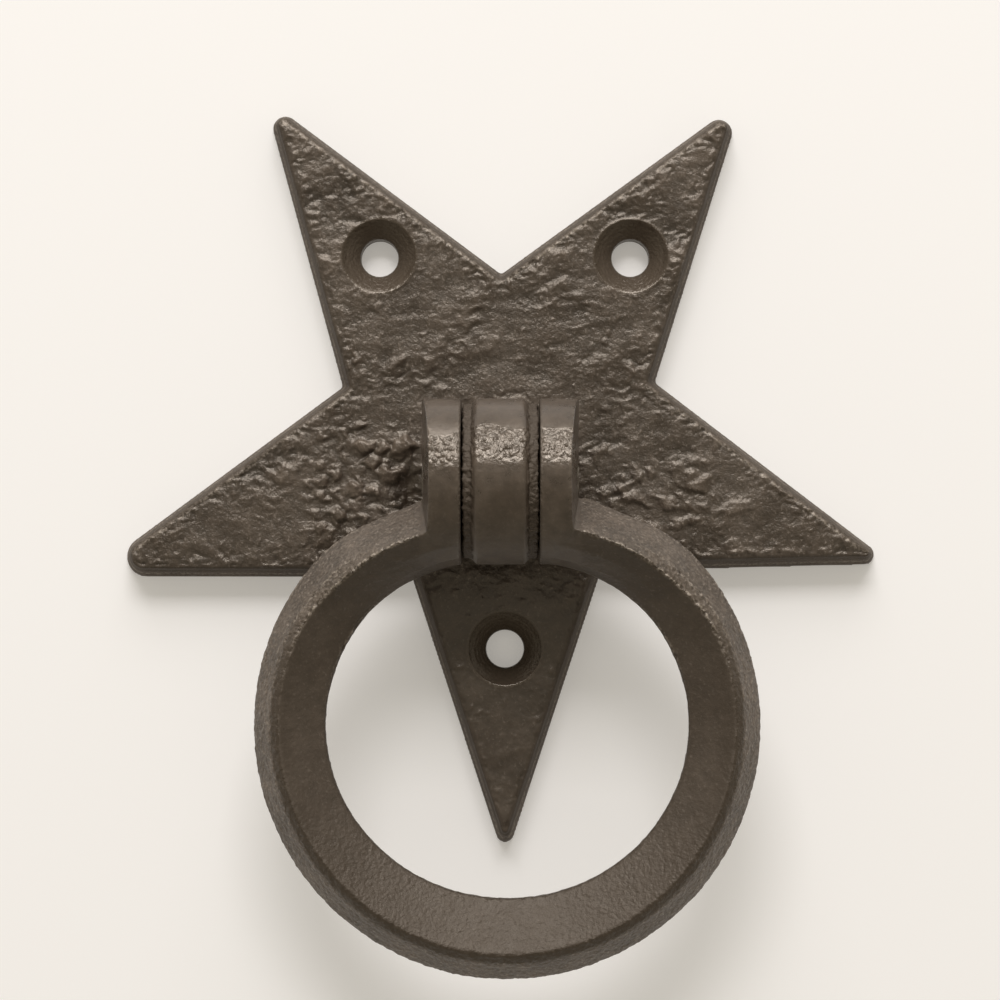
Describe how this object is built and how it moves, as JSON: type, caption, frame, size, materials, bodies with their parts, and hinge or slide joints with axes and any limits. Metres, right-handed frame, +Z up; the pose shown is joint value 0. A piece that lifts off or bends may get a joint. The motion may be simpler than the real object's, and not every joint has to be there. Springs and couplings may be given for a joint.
{
  "type": "ring pull handle",
  "caption": "Cast iron ring pull on a five-pointed star back plate; the faceted ring hangs from a pinned knuckle hinge and lifts to pull a door or drawer.",
  "frame": {"origin": "centre of the star on its back face, the face that lies on the door or drawer front", "axes": "+Y into the door, square to the back face; +Z up, with the ring hanging towards -Z; +X to the viewer's right, along the hinge pin"},
  "size_m": [0.1018, 0.0276, 0.116],
  "materials": {
    "cast_iron": "waxed black iron with the casting's own rough skin",
    "pin_steel": "plain drawn steel wire, darkened"
  },
  "bodies": {
    "backplate": {"star_backplate": "cast_iron"},
    "ring": {"pull_ring": "cast_iron", "hinge_pin": "pin_steel"}
  },
  "joints": [
    {"name": "ring_swing", "type": "hinge", "parent": "backplate", "child": "ring", "pos_m": [0, -0.0167, -0.0069], "axis": [-1, 0, 0], "range_deg": [-11, 187.5]}
  ]
}
